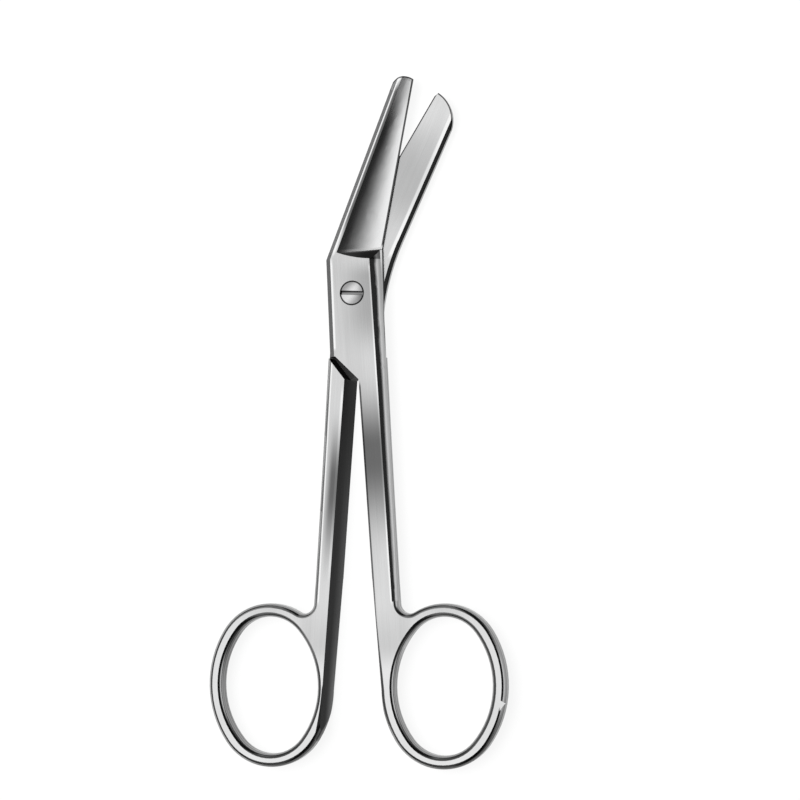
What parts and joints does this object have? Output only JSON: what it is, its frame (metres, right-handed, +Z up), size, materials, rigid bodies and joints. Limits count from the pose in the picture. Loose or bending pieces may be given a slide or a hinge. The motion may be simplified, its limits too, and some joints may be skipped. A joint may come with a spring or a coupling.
{
  "type": "bandage scissors",
  "caption": "Angled bandage scissors: two lapped steel halves on a slotted pivot screw, hollow-ground blades with blunt rounded tips, slim shanks and oval finger rings.",
  "frame": {"origin": "middle of the bounding box on the surface that the scissors lie on", "axes": "+Y along the scissors towards the blade tips, +X to the right seen from above, +Z up out of the front half's outer face"},
  "size_m": [0.0638, 0.1448, 0.0047],
  "materials": {
    "front_steel": "satin-brushed flats with polished bevels and ring",
    "rear_steel": "satin-brushed flats with polished bevels and ring",
    "screw_steel": "polished domed head"
  },
  "bodies": {
    "rear": {"rear_half": "rear_steel", "pivot_screw": "screw_steel"},
    "front": {"front_half": "front_steel"}
  },
  "joints": [
    {"name": "pivot", "type": "hinge", "parent": "rear", "child": "front", "pos_m": [-0.0008, 0.02666, 0.0022], "axis": [0, 0, 1], "range_deg": [-8.2, 50]}
  ]
}
